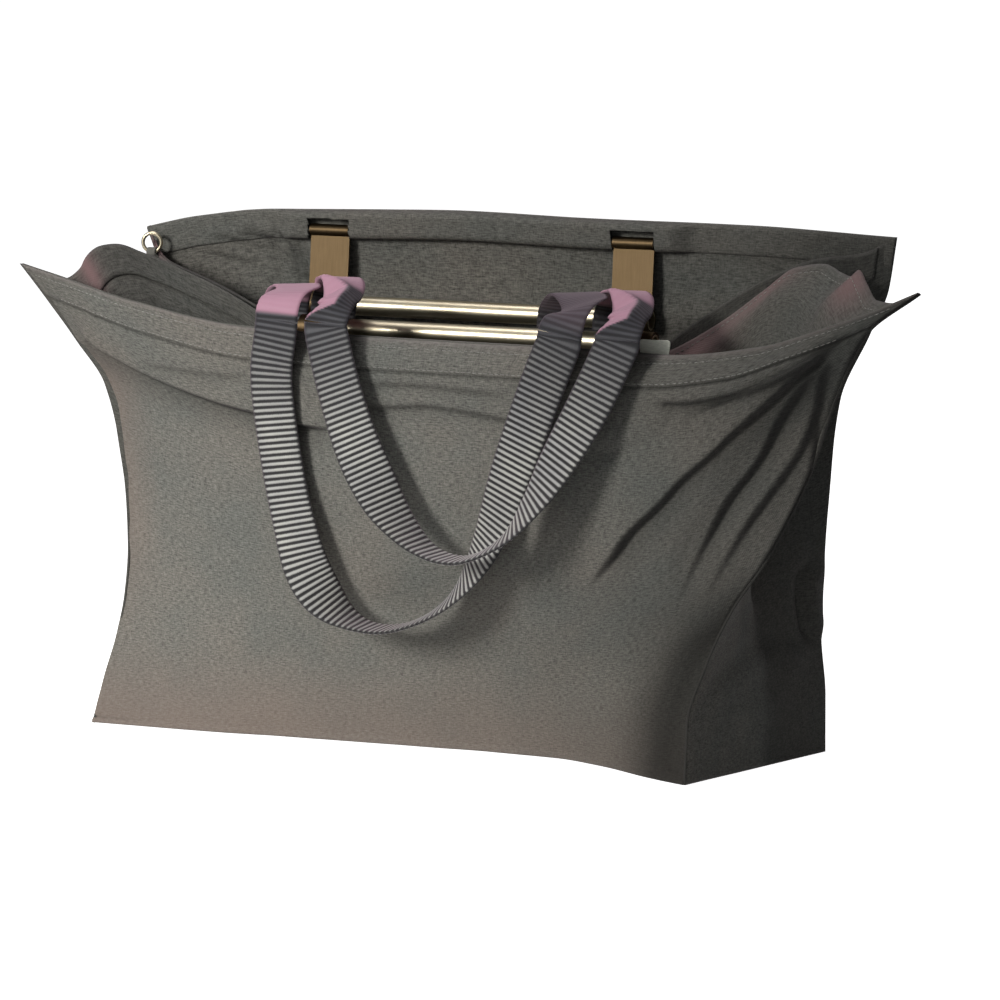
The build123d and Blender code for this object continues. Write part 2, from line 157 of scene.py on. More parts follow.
def crease(x, z, points, height, side=1.0, tail=15.0, fade=(0.15, 0.25)):
    """Cloth hanging over itself: full on one side of a line, drawn in on the other."""
    d, share = distance_to(dense(points, 6), x, z)
    d = d * side
    over = np.exp(-np.maximum(d, 0) / tail)
    under = -0.60 * np.exp(np.minimum(d, 0) / (0.55 * tail)) - 0.25 * np.exp(-((d + 2.2) / 1.8) ** 2)
    return faded(share, fade) * height * mix(under, over, step(-1.3, 1.3, d))


def crease_painted_shade(x, z, points, height, side=1.0, tail=15.0, fade=(0.15, 0.25)):
    """Painted shade in the groove of a crease, and more softly beside it."""
    d, share = distance_to(dense(points, 6), x, z)
    d = d * side + 0.8
    beside = np.exp(-(d / np.where(d > 0, 2.4, 0.5 * tail)) ** 2)
    depth = min(height / 3.2, 1.35)
    return faded(share, fade) * depth * (0.45 * np.exp(-(d / 1.4) ** 2) + 0.26 * beside)


def ripple(x, z, size, seed):
    """Soft unevenness of about 1, with features of a given size."""
    draw = random.Random(seed)
    total = 0
    for _ in range(7):
        turn, phase = draw.uniform(0, math.pi), draw.uniform(0, 2 * math.pi)
        k = 2 * math.pi / (size * draw.uniform(0.7, 1.6))
        total = total + np.sin(k * (x * math.cos(turn) + z * math.sin(turn)) + phase)
    return total / 3.5


# ---- materials ----
def new_material(name):
    material = bpy.data.materials.new(name)
    material.use_nodes = True
    tree = material.node_tree
    tree.nodes.clear()
    out = tree.nodes.new("ShaderNodeOutputMaterial")
    shader = tree.nodes.new("ShaderNodeBsdfPrincipled")
    tree.links.new(shader.outputs[0], out.inputs[0])
    return material, tree, shader


def node(tree, kind, inputs=(), **settings):
    made = tree.nodes.new("ShaderNode" + kind)
    for key, value in settings.items():
        setattr(made, key, value)
    for key, value in dict(inputs).items():
        if isinstance(value, bpy.types.NodeSocket):
            tree.links.new(value, made.inputs[key])
        else:
            made.inputs[key].default_value = value
    return made


def maths(tree, operation, a, b=0.0):
    return node(tree, "Math", {0: a, 1: b}, operation=operation).outputs[0]


def stretched_noise(tree, where, scale, detail, roughness=0.6):
    """Noise that is stretched along the yarns; scale is in features per metre along each axis."""
    placed = node(tree, "VectorMath", {0: where, 1: scale}, operation="MULTIPLY").outputs[0]
    noise = node(tree, "TexNoise", {"Vector": placed, "Scale": 1.0, "Detail": detail, "Roughness": roughness})
    return noise.outputs["Fac"]


def ramp(tree, fac, stops):
    made = node(tree, "ValToRGB", {"Fac": fac})
    elements = made.color_ramp.elements
    while len(elements) < len(stops):
        elements.new(0.5)
    for element, (place, colour) in zip(elements, stops):
        element.position = place
        element.color = (*colour, 1)
    return made.outputs["Color"]


def blend_colour(tree, fac, a, b, mode="MIX"):
    made = tree.nodes.new("ShaderNodeMix")
    made.data_type = "RGBA"
    made.blend_type = mode
    for key, value in ((0, fac), (6, a), (7, b)):
        if isinstance(value, bpy.types.NodeSocket):
            tree.links.new(value, made.inputs[key])
        else:
            made.inputs[key].default_value = value
    return made.outputs[2]


def attribute(tree, name, output="Fac"):
    return node(tree, "Attribute", attribute_name=name).outputs[output]


def weighted(tree, *pairs):
    """Sum of values, each times its weight."""
    terms = [value if weight == 1 else maths(tree, "MULTIPLY", value, weight) for value, weight in pairs]
    total = terms[0]
    for term in terms[1:]:
        total = maths(tree, "ADD", total, term)
    return total


def dress(tree, shader, colour, grain, rough, height, strength, depth):
    """Links colour, a roughness that goes from rough[0] to rough[1] with the grain, and relief."""
    tree.links.new(colour, shader.inputs["Base Color"])
    spread = node(tree, "MapRange", {"Value": grain, "To Min": rough[0], "To Max": rough[1]})
    tree.links.new(spread.outputs[0], shader.inputs["Roughness"])
    bumped = node(tree, "Bump", {"Height": height, "Strength": strength, "Distance": depth * MM})
    tree.links.new(bumped.outputs[0], shader.inputs["Normal"])


def canvas_material(name, dark, light, sheen):
    """Melange canvas: slubbed yarns both ways, a plain weave in relief, faded high spots, painted shade and
    painted pink light.
    """
    material, tree, shader = new_material(name)
    where = attribute(tree, "cloth", "Vector")
    weft = stretched_noise(tree, where, (260, 1300, 1), 3)
    warp = stretched_noise(tree, where, (1400, 300, 1), 3)
    specks = stretched_noise(tree, where, (1100, 1500, 1), 1)
    yarns = weighted(tree, (weft, 0.55), (warp, 0.30), (specks, 0.15))
    between = tuple(mix(a, b, 0.5) for a, b in zip(dark, light))
    colour = ramp(tree, yarns, [(0.36, dark), (0.50, between), (0.64, light)])
    cloudy = stretched_noise(tree, where, (11, 13, 1), 3)
    warm = ramp(tree, cloudy, [(0.35, (0.90, 0.93, 0.95)), (0.65, (1.10, 1.05, 1.04))])
    colour = blend_colour(tree, 1.0, colour, warm, "MULTIPLY")
    # Casts painted over the yarns: warmth and the paler rim and floor edges are the cloth's own, the near-black
    # cast is painted shade and the pink cast is painted light on faces that turn up.
    for cast, share, tint in (("wear_and_painted_shine", 0.55, (0.30, 0.285, 0.27)), ("warmth", 1, (0.21, 0.155, 0.13)),
                              ("painted_shade", 1, (0.012, 0.012, 0.011)), ("painted_pink_light", 1, (0.20, 0.125, 0.125))):
        colour = blend_colour(tree, weighted(tree, (attribute(tree, cast), share)), colour, (*tint, 1))
    x, y = node(tree, "SeparateXYZ", {0: where}).outputs[0:2]
    threads = maths(tree, "MULTIPLY", maths(tree, "SINE", maths(tree, "MULTIPLY", x, 2 * math.pi / WEFT_PITCH)),
                    maths(tree, "SINE", maths(tree, "MULTIPLY", y, 2 * math.pi / WARP_PITCH)))
    relief = weighted(tree, (threads, 0.35), (yarns, 2.2))
    dress(tree, shader, colour, yarns, (0.98, 0.78), relief, 0.55, 0.25)
    shader.inputs["Specular IOR Level"].default_value = 0.25
    shader.inputs["Sheen Weight"].default_value = sheen
    shader.inputs["Sheen Roughness"].default_value = 0.45
    shader.inputs["Sheen Tint"].default_value = (0.85, 0.70, 0.76, 1)
    return material


def webbing_material():
    """Ribbed polyamide webbing: dark grooves, rib tops painted paler lower down as a painted shine, and painted
    pink light where it turns up.
    """
    material, tree, shader = new_material("webbing_rib")
    where = attribute(tree, "cloth", "Vector")
    yarn = stretched_noise(tree, where, (2600, 500, 1), 3)
    height = weighted(tree, (attribute(tree, "rib"), 1), (maths(tree, "SUBTRACT", yarn, 0.5), 0.5))
    # Dark ribs high up; lower down the ribs are painted paler, a painted shine where the webbing tilts out to the
    # light.
    new = ramp(tree, height, [(0.15, (0.012, 0.012, 0.015)), (0.45, (0.020, 0.020, 0.026)),
                              (0.95, (0.040, 0.041, 0.050))])
    painted_shine_ribs = ramp(tree, height, [(0.24, (0.014, 0.014, 0.015)), (0.44, (0.075, 0.075, 0.072)),
                                 (0.60, (0.27, 0.27, 0.255)), (0.95, (0.42, 0.42, 0.40))])
    colour = blend_colour(tree, attribute(tree, "wear_and_painted_shine"), new, painted_shine_ribs)
    cloudy = stretched_noise(tree, where, (40, 25, 1), 2)
    shade = ramp(tree, cloudy, [(0.3, (0.80, 0.80, 0.84)), (0.7, (1.12, 1.12, 1.08))])
    colour = blend_colour(tree, 1.0, colour, shade, "MULTIPLY")
    # Painted pink light where the webbing turns up to the light from above.
    colour = blend_colour(tree, attribute(tree, "painted_pink_light"), colour, (0.46, 0.245, 0.325, 1))
    dress(tree, shader, colour, height, (0.8, 0.6), yarn, 0.35, 0.2)
    shader.inputs["Sheen Weight"].default_value = 0.25
    shader.inputs["Sheen Tint"].default_value = (0.9, 0.72, 0.82, 1)
    return material


def metal_material(name, colour, wear_and_shine, roughness, grain):
    """Satin coated metal with a fine grain along the part and lighter spots from rubbing."""
    material, tree, shader = new_material(name)
    where = node(tree, "TexCoord").outputs["Object"]
    lines = stretched_noise(tree, where, grain, 4)
    clouds = stretched_noise(tree, where, (60, 60, 60), 3)
    mixed = weighted(tree, (lines, 0.6), (clouds, 0.4))
    dress(tree, shader, ramp(tree, mixed, [(0.35, colour), (0.68, wear_and_shine)]), mixed,
          (roughness - 0.07, roughness + 0.09), lines, 0.12, 0.1)
    shader.inputs["Metallic"].default_value = 1.0
    return material


def plain_material(name, dark, light, roughness, scale):
    """Thread, tape and board: fine two-tone grain with a little relief."""
    material, tree, shader = new_material(name)
    where = node(tree, "TexCoord").outputs["Object"]
    grain = stretched_noise(tree, where, scale, 4)
    dress(tree, shader, ramp(tree, grain, [(0.35, dark), (0.65, light)]), grain,
          (roughness - 0.1, roughness + 0.1), grain, 0.3, 0.15)
    return material


canvas = canvas_material("melange_canvas", (0.062, 0.062, 0.056), (0.235, 0.231, 0.205), 0.06)
webbing = webbing_material()
thread = plain_material("sewing_thread", (0.15, 0.148, 0.135), (0.30, 0.295, 0.27), 0.75, (900, 900, 900))
champagne = metal_material("champagne_tube", (0.66, 0.57, 0.40), (0.80, 0.73, 0.56), 0.34, (25, 1500, 1500))
bronze = metal_material("bronze_strip", (0.084, 0.057, 0.030), (0.118, 0.082, 0.045), 0.46, (1500, 90, 90))
steel = metal_material("rod_steel", (0.35, 0.33, 0.30), (0.5, 0.47, 0.43), 0.4, (30, 1500, 1500))
woven = plain_material("woven_label", (0.62, 0.63, 0.54), (0.82, 0.83, 0.72), 0.6, (300, 300, 2600))
board = plain_material("stiffening_board", (0.03, 0.03, 0.03), (0.07, 0.07, 0.068), 0.7, (300, 300, 300))


# ---- the shell ----
LEFT_TIP = Vector((front_low.x, front_high.y, front_high.z - 7 * MM)) / MM
RIGHT_TIP = Vector((front_high.x, front_high.y, front_high.z)) / MM
BACK_LEFT = Vector((back_low.x, 0.050, back_high.z - 17 * MM)) / MM
BACK_RIGHT = Vector((back_high.x, 0.050, back_high.z - 6 * MM)) / MM

# Corner seams: height, distance in from the rim's tip, y.
FRONT_LEFT_SEAM = [(0, 46, -43), (24, 53, -42), (50, 61, -41), (72, 66, -41), (100, 69, -42), (130, 69, -44),
                   (160, 66, -46), (186, 59, -46), (206, 43, -45), (222, 28, -42), (246, 0, -32)]
FRONT_RIGHT_SEAM = [(0, 113.5, -57), (31, 113.5, -54), (61, 105, -50), (90, 91, -51), (119, 71, -53),
                    (167, 47, -53), (205, 35, -51), (235, 21, -46), (253, 0, -32)]
BACK_LEFT_SEAM = [(0, 5, 48), (60, 22, 49), (130, 34, 50), (190, 30, 50), (230, 14, 50), (261, 0, 50)]
BACK_RIGHT_SEAM = [(0, 36, 48), (30, 36, 47), (62, 38, 45), (108, 36, 45), (150, 33, 46), (183, 29, 47),
                   (218, 13, 48), (240, 4, 50), (266, 0, 50)]


def seam_curve(table, tip, side):
    """Points of a corner seam for heights from 0 to 1."""
    top = table[-1][0]

    def curve(t):
        found = through(table, np.asarray(t) * top)
        x = tip.x - side * found[..., 0]
        return np.stack([x, found[..., 1], np.asarray(t) * tip.z], -1)
    return curve


front_left = seam_curve(FRONT_LEFT_SEAM, LEFT_TIP, -1)
front_right = seam_curve(FRONT_RIGHT_SEAM, RIGHT_TIP, 1)
back_left = seam_curve(BACK_LEFT_SEAM, BACK_LEFT, -1)
back_right = seam_curve(BACK_RIGHT_SEAM, BACK_RIGHT, 1)

# Rims and the front edge of the base: share of the width, then what is added to the straight line.
FRONT_RIM = [(0, 0, 0), (0.05, -12, -3.5), (0.16, -27, -14.5), (0.30, -35.5, -25), (0.42, -37.5, -27.5),
             (0.65, -38, -29.5), (0.77, -36.5, -31), (0.86, -30, -26), (0.925, -20.5, -15.5), (0.965, -11, -8),
             (1, 0, 0)]
BASE_FRONT = [(0, 0), (0.18, 6), (0.35, 15), (0.50, 21), (0.66, 28), (0.76, 29), (0.84, 22), (0.94, 7), (1, 0)]
BACK_RIM = [(0, 0, 0), (0.07, 0, 6), (0.18, 0, 10.5), (0.4, 0, 11), (0.62, 0, 7.5), (0.82, 0, 5), (1, 0, 0)]


def below_rim(t, z):
    """How far below the rim a point of a wall lies; t is its share of the height."""
    return (1 - t) * z / np.maximum(t, 0.2)


def held_back(y, limit, reach, ease):
    """Lets a wall come forward past a limit by no more than reach, so that no strap sinks into it."""
    return np.where(y < limit, limit - reach * np.tanh((limit - y) / ease), y)


def front_base_wall(u, t):
    """Front wall without its folds."""
    edge = mix(front_left(t), front_right(t), u[..., None])
    rim = through(FRONT_RIM, u)
    y = edge[..., 1] + rim[..., 0] * step(0, 1, t) ** 1.6
    y = y + through(BASE_FRONT, u) * (1 - step(0, 0.55, t))
    y = y - 7.5 * np.sin(math.pi * t ** 0.8) * (1 - np.abs(2 * u - 1) ** 3)
    y = held_back(y, -74, 8, 10)
    z = edge[..., 2] + rim[..., 1] * t
    return np.stack([edge[..., 0], y, z], -1)


# Soft folds of the front wall: line (x, z), depth, width, ridge, side of the ridge, fade at both ends.
FRONT_FOLDS = [
    ([(243, 214), (230, 190), (213, 165), (196, 140), (180, 117), (170, 90)], 3, 7, 1, -1, (0.3, 0.3)),
    ([(126, 168), (150, 173), (170, 181), (200, 194)], 2.4, 5, 1, 1, (0.15, 0.4)),
    ([(170, 198), (176, 194), (175, 189), (169, 186)], 2.4, 2.8, 1.4, 1, (0.2, 0.3)),
    ([(-99, 198), (-81, 193), (-70, 190)], 1.4, 2.4, 0.8, 1, (0.3, 0.3)),
    ([(-148, 190), (-138, 160), (-136, 130), (-142, 95)], 2, 9, 1, 1, (0.25, 0.4)),
    ([(40, 182), (54, 174), (66, 162)], 2.2, 6, 1.2, 1, (0.3, 0.4)),
    ([(166, 4), (170, 30), (178, 56), (196, 84), (214, 106), (226, 124)], 3.4, 7, 1.2, 1, (0.02, 0.35)),
    ([(140, 30), (150, 62), (166, 92)], 2.4, 12, 0.6, -1, (0.3, 0.3)),
]
# Overhanging creases: line (x, z), height, side that hangs over, reach, fade at both ends.
FRONT_CREASES = [
    ([(-176, 215), (-160, 206), (-139, 199), (-114, 192), (-94, 187), (-76, 183), (-58, 180), (-28, 175),
      (-5, 174)], 4.6, 1, 22, (0.05, 0.12)),
    ([(2, 188), (20, 187.5), (47, 189), (84, 185), (100, 182)], 2.2, 1, 8, (0.1, 0.2)),
    ([(4, 199), (40, 199.5), (90, 197)], 1.5, 1, 6, (0.15, 0.2)),
    ([(-130, 202), (-99, 200), (-76, 199), (-56, 199)], 1.1, 1, 6, (0.25, 0.2)),
    ([(164, 198), (172, 198), (186, 199), (201, 202), (216, 206), (232, 213), (250, 225)], 2.4, 1, 8,
     (0.12, 0.15)),
    ([(256, 232), (246, 222), (222, 198), (207, 184), (196, 173), (180, 159), (167, 145), (152, 131), (140, 116),
      (120, 94)], 3.6, -1, 19, (0.1, 0.22)),
    ([(246, 216), (238, 207), (227, 190), (217, 170), (202, 150), (190, 130), (176, 104), (168, 86)],
     2.9, -1, 14, (0.1, 0.45)),
    ([(250, 222), (246, 210), (243, 195), (236, 175), (220, 151), (208, 134), (192, 108), (182, 88)],
     2.5, -1, 11, (0.1, 0.45)),
    ([(243, 196), (240, 161), (232, 140), (214, 114), (204, 96)], 2, -1, 9, (0.2, 0.4)),
    ([(262, 234), (238, 218), (214, 205), (196, 196), (176, 189)], 1.8, 1, 9, (0.1, 0.35)),
]


def hem_step(height_below_rim, height, width=0.9):
    """The hem is three layers of canvas: a small step where its lower edge is sewn down."""
    return 0.7 * (1 - step(height - width, height + width, height_below_rim))


def front_wall(u, t):
    """Front wall with its folds, creases and hem; a groove runs under the hem's sewn edge."""
    point = front_base_wall(u, t)
    x, z = point[..., 0], point[..., 2]
    out = sum(fold(x, z, *spec) for spec in FRONT_FOLDS) + sum(crease(x, z, *spec) for spec in FRONT_CREASES)
    below = below_rim(t, z)
    out = out * (0.15 + 0.85 * step(6, 22, below))
    out = out + hem_step(below, 15)
    out = out - 1.0 * bump(below, 15.8, 1.1)
    out = out + 0.5 * ripple(x, z, 70, 3) * (1 - 0.5 * t) + 0.22 * ripple(x, z, 24, 5)
    point[..., 1] = held_back(point[..., 1] - out, -76, 6.2, 8)
    return point


# The back wall's folds and creases, in the same order of values; its folds turn the other way.
BACK_FOLDS = [
    ([(-96, 262), (-92, 250), (-86, 236), (-84, 214)], -3.2, 3.6, -2, 1, (0.25, 0.3)),
    ([(-112, 258), (-106, 246), (-104, 226)], -2.4, 4, -1.6, 1, (0.25, 0.3)),
    ([(-150, 256), (-134, 254), (-120, 251), (-108, 247)], -1.8, 2.8, -1, 1, (0.3, 0.3)),
    ([(-134, 262), (-120, 259), (-104, 257)], -1.4, 2.6, -0.8, 1, (0.3, 0.3)),
    ([(-80, 240), (-60, 200), (-66, 150)], -2, 9, -1, 1, (0.3, 0.3)),
    ([(150, 250), (156, 220), (152, 180)], -1.6, 7, -1, 1, (0.3, 0.3)),
    ([(200, 250), (196, 215), (202, 170)], -1.6, 8, -1, 1, (0.3, 0.3)),
    ([(-150, 20), (-60, 34), (40, 30), (150, 22)], 1.5, 12, 1, 1, (0.2, 0.2)),
]
BACK_CREASES = [
    ([(-107, 263), (-100, 257.6), (-96, 249), (-93, 241), (-91, 230)], 1.7, 1, 7, (0.15, 0.3)),
    ([(-154, 250), (-135, 246.5), (-118, 243.5)], 1.3, 1, 6, (0.25, 0.3)),
    ([(-132, 260.5), (-117, 258.5), (-102, 257)], 1.3, 1, 6, (0.25, 0.3)),
]


def back_wall(u, t):
    """Back wall; here the folds and the hem stand out towards the front."""
    edge = mix(back_left(t), back_right(t), u[..., None])
    rim = through(BACK_RIM, u)
    x = edge[..., 0]
    z = edge[..., 2] + rim[..., 1] * t
    y = edge[..., 1] + 2 * np.sin(math.pi * t) * (1 - np.abs(2 * u - 1) ** 4)
    out = sum(fold(x, z, *spec) for spec in BACK_FOLDS) - sum(crease(x, z, *spec) for spec in BACK_CREASES)
    out = out - hem_step(below_rim(t, z), 16)
    out = out + 0.6 * ripple(x, z, 80, 11) + 0.25 * ripple(x, z, 26, 13)
    return np.stack([x, y + out, z], -1)


# Rims of the folded gussets: share of the width, x, y, z, from the front corner round the fold to the back corner.
RIGHT_RIM = [(0, 288, -32, 253), (0.05, 272, -29, 247), (0.09, 262, -21, 247), (0.12, 253.5, -12, 254),
             (0.15, 246.5, -4, 260), (0.18, 240, 1, 256), (0.21, 234, 6, 257), (0.26, 222, 12, 260.5),
             (0.32, 207, 12, 258), (0.38, 191, 8, 246), (0.45, 172, 4, 231), (0.53, 146, 0, 215),
             (0.59, 129, 4, 208), (0.64, 140, 10, 217), (0.71, 163, 17, 235), (0.79, 190, 26, 252),
             (0.87, 212, 33, 261), (0.94, 230, 43, 263), (1, BACK_RIGHT.x, 50, BACK_RIGHT.z)]
LEFT_RIM = [(0, -221, -32, 246), (0.05, -206, -35, 241), (0.09, -193, -33, 238.5), (0.12, -187.5, -26, 244),
            (0.15, -186.5, -21, 250), (0.18, -183, -14, 254.5), (0.21, -177, -8, 255.5), (0.26, -166, -2, 252),
            (0.33, -146, 2, 244.5), (0.42, -114, 4, 231.5), (0.51, -80, 5, 213), (0.56, -84, 10, 215),
            (0.64, -106, 11, 227), (0.73, -131, 17, 235.5), (0.82, -153, 26, 240.5), (0.89, -168, 34, 243.5),
            (0.95, -179, 42, 249), (1, BACK_LEFT.x, 50, BACK_LEFT.z)]


def gusset_surface(front_seam, back_seam, rim_table, folds, power=1.25, start=0.02):
    """Folded side: straight between its seams at the floor, and along its rim at the top."""
    def surface(u, t):
        straight = mix(front_seam(t), back_seam(t), u[..., None])
        top = mix(front_seam(np.ones_like(t)), back_seam(np.ones_like(t)), u[..., None])
        rim = through(rim_table, u)
        share = (step(start, 1.25, t) / step(start, 1.25, 1.0))[..., None] ** power
        point = straight + (rim - top) * share
        across, z = u * GUSSET_DEPTH - GUSSET_DEPTH / 2, point[..., 2]
        out = sum(fold(across, z, *spec) for spec in folds)
        point[..., 0] += out
        point[..., 1] += 0.4 * ripple(across * 2, z, 50, 17)
        return point
    return surface


# Folds of the sides: as for the front wall, with the distance from the middle of the side for x.
GUSSET_DEPTH = 96
RIGHT_FOLDS = [
    ([(40, 108), (36, 90), (38, 70), (45, 56)], 5, 3.4, 2, 1, (0.3, 0.25)),
    ([(-46, 46), (-20, 58), (10, 64), (44, 60)], 1.6, 7, 2.2, -1, (0.2, 0.2)),
    ([(-20, 20), (5, 30), (30, 28)], -2, 12, 0, 1, (0.4, 0.4)),
    ([(-38, 110), (-18, 84), (10, 70)], 1.6, 5, 1, 1, (0.3, 0.3)),
]
LEFT_FOLDS = [
    ([(-40, 110), (-30, 80), (0, 60), (35, 58)], -1.5, 6, 0, 1, (0.3, 0.3)),
]
left_gusset = gusset_surface(front_left, back_left, LEFT_RIM, LEFT_FOLDS)
right_gusset = gusset_surface(front_right, back_right, RIGHT_RIM, RIGHT_FOLDS)


def normals_of(points):
    """Unit normals of a grid of points, along (direction of u) x (direction of t)."""
    normal = np.cross(np.gradient(points, axis=0), np.gradient(points, axis=1))
    return normal / np.maximum(np.linalg.norm(normal, axis=-1, keepdims=True), 1e-12)


def paint(mesh, name, values):
    layer = mesh.attributes.new(name, "FLOAT", "POINT")
    layer.data.foreach_set("value", np.asarray(values, np.float32).ravel())


def add_object(name, data):
    made = bpy.data.objects.new(name, data)
    bpy.context.scene.collection.objects.link(made)
    return made


def mesh_object(name, points, faces, finish):
    """Smooth-shaded mesh of points in metres."""
    mesh = bpy.data.meshes.new(name)
    mesh.from_pydata(np.asarray(points).tolist(), [], faces)
    mesh.polygons.foreach_set("use_smooth", np.ones(len(mesh.polygons), bool))
    mesh.materials.append(finish)
    return add_object(name, mesh)


def ring_mesh(name, ring, finish):
    """Mesh of rings of points in millimetres, each joined to the next, closed at both ends."""
    count, n = ring.shape[:2]
    index = np.arange(count * n).reshape(count, n)
    nxt = np.roll(index, -1, axis=1)
    quads = np.stack([index[:-1], nxt[:-1], nxt[1:], index[1:]], -1).reshape(-1, 4)
    faces = quads.tolist() + [index[0, ::-1].tolist(), index[-1].tolist()]
    return mesh_object(name, ring.reshape(-1, 3) * MM, faces, finish)


def paint_cloth(mesh, places):
    """Where each point lies on the flat cloth, in metres; the materials run along it."""
    layer = mesh.attributes.new("cloth", "FLOAT_VECTOR", "POINT")
    layer.data.foreach_set("vector", places.astype(np.float32).ravel())


def belongs(piece, slot, *nodes, body="bag"):
    """A piece that rides on a body and stands for CAD nodes, which it hides; slot is not used."""
    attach(piece, body)
    if nodes:
        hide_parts(*nodes)
    return piece


def grid_object(name, surface, columns, rows, cloth_size, inner_side, tints=None, spans=((0, 1), (0, 1)),
                thickness=CLOTH, offset=0.0, finish=canvas):
    """Mesh of a cloth surface; the second face lies on inner_side (1 or -1 along its normal)."""
    us = np.linspace(*spans[0], columns + 1)
    ts = np.linspace(*spans[1], rows + 1)
    u, t = np.meshgrid(us, ts, indexing="ij")
    points = surface(u, t) * MM
    normal = normals_of(points)
    points = points + normal * offset
    other = points + normal * inner_side * thickness
    n, m = columns + 1, rows + 1
    count = n * m
    index = np.arange(count).reshape(n, m)
    a, b, c, d = index[:-1, :-1], index[1:, :-1], index[1:, 1:], index[:-1, 1:]
    first = np.stack([a, b, c, d], -1).reshape(-1, 4)
    second = np.stack([d, c, b, a], -1).reshape(-1, 4) + count
    if inner_side > 0:
        first, second = first[:, ::-1], second[:, ::-1]
    rim = []
    for line in (index[:, 0], index[-1, :], index[::-1, -1], index[0, ::-1]):
        quad = np.stack([line[:-1], line[:-1] + count, line[1:] + count, line[1:]], -1)
        rim.append(quad if inner_side < 0 else quad[:, ::-1])
    faces = np.vstack([first, second] + rim).tolist()
    made = mesh_object(name, np.vstack([points.reshape(-1, 3), other.reshape(-1, 3)]), faces, finish)
    flat = np.stack([u * cloth_size[0], t * cloth_size[1], np.zeros_like(u)], -1).reshape(-1, 3)
    paint_cloth(made.data, np.vstack([flat, flat + 0.31]))
    height = points[..., 2] / MM
    wear_and_shine = np.exp(-(below_rim(t, height) / 1.2) ** 2) * 0.8 + np.exp(-(height / 2.5) ** 2) * 0.25
    # The tints give warmth, painted pink light and painted shade.
    warm, painted_pink_light, painted_shade = tints(u, t, points / MM) if tints else (0 * u, 0 * u, 0 * u)
    for cast, amount in (("painted_shade", np.clip(painted_shade, 0, 0.85)), ("wear_and_painted_shine", wear_and_shine), ("warmth", warm), ("painted_pink_light", painted_pink_light)):
        paint(made.data, cast, np.tile(amount.ravel(), 2))
    return made


# Tints of a surface: how warm it is, and how much painted pink light and painted shade it takes, at its points,
# which are in millimetres.
def front_tints(u, t, p):
    """Brownish low down and at the left edge, painted pink light on the rim, painted shade in the creases, under
    the hem, towards the right and at the lower right corner.
    """
    left = 1 - step(-175, -120, p[..., 0])
    low = 1 - step(0, 60, p[..., 2])
    warm = 0.60 * left * step(0.1, 0.5, t) * (1 - step(0.75, 0.9, t)) + 0.55 * low * (1 - 0.4 * u)
    painted_pink_light = 0.12 * bump(t, 1, 0.01)
    x, z = p[..., 0], p[..., 2]
    below = below_rim(t, z)
    # Painted shade: darker in the creases, in the groove under the hem, towards the right, along the right seam,
    # high up and low at the right corner.
    painted_shade = sum(crease_painted_shade(x, z, *spec) for spec in FRONT_CREASES) * step(5, 16, below)
    painted_shade = painted_shade + 0.5 * np.exp(-((below - 15.9) / 0.8) ** 2)
    painted_shade = painted_shade + 0.36 * step(60, 230, x + 0.30 * (150 - z)) + 0.32 * bump(u, 1, 0.07) * (1 - step(60, 110, z))
    painted_shade = painted_shade + 0.5 * step(0.992, 0.999, u) + 0.10 * step(165, 205, z)
    painted_shade = painted_shade + 0.34 * step(0.84, 0.96, u) * (1 - step(60, 135, z))
    return warm, painted_pink_light, painted_shade


def right_side_tints(u, t, p):
    # Painted pink light on a band and a corner under the rim; painted shade over the whole side, more at its front
    # seam and on its back half.
    rim_z = right_gusset(u, np.ones_like(t))[..., 2]
    down = rim_z - p[..., 2]
    band = bump(u, 0.50, 0.085) * bump(down, 9, 14) + 0.7 * bump(u, 0.36, 0.05) * bump(down, 4, 7)
    corner = bump(u, 0.14, 0.03) * bump(down, 5, 9)
    painted_shade = 0.40 + 0.4 * (1 - step(0.002, 0.012, u)) + 0.30 * step(0.5, 0.62, u)
    return 0 * u, np.clip(0.9 * band + 0.8 * corner, 0, 1), painted_shade


def left_side_tints(u, t, p):
    # Painted pink light near the rim at two places; painted shade over the whole side.
    rim_z = left_gusset(u, np.ones_like(t))[..., 2]
    down = rim_z - p[..., 2]
    painted_pink_light = 1.0 * bump(u, 0.135, 0.022) * bump(down, 4, 12) + 0.9 * bump(u, 0.95, 0.04) * bump(down, 0, 2)
    return 0 * u, np.clip(painted_pink_light, 0, 1), 0.50 + 0 * u


def back_tints(u, t, p):
    # Painted shade over the whole wall, more towards the right, and in its creases.
    painted_shade = sum(crease_painted_shade(p[..., 0], p[..., 2], *spec) for spec in BACK_CREASES)
    return 0 * u, 0 * u, 0.19 + 0.16 * u + 0.22 * step(0.8, 0.95, u) + painted_shade


def floor_surface(u, t):
    front = front_base_wall(u, np.zeros_like(t))
    back = mix(back_left(np.zeros_like(t)), back_right(np.zeros_like(t)), u[..., None])
    point = mix(front, back, t[..., None])
    point[..., 2] = 0.1 + 0.5 * (1 - np.abs(2 * t - 1) ** 6) * (1 - np.abs(2 * u - 1) ** 6)
    return point


for name, cad, surface, columns, rows, size, inner_side, tints in (
    ("front_cloth", "front_panel", front_wall, 380, 240, (0.505, 0.25), -1, front_tints),
    ("back_cloth", "back_panel", back_wall, 260, 150, (0.43, 0.27), 1, back_tints),
    ("left_side_cloth", "left_gusset", left_gusset, 220, 120, (0.26, 0.26), 1, left_side_tints),
    ("right_side_cloth", "right_gusset", right_gusset, 260, 140, (0.30, 0.26), 1, right_side_tints),
    ("floor_cloth", "bottom_panel", floor_surface, 120, 30, (0.4, 0.09), 1, None),
):
    belongs(grid_object(name, surface, columns, rows, size, inner_side, tints),
                           "shell_fabric", cad)


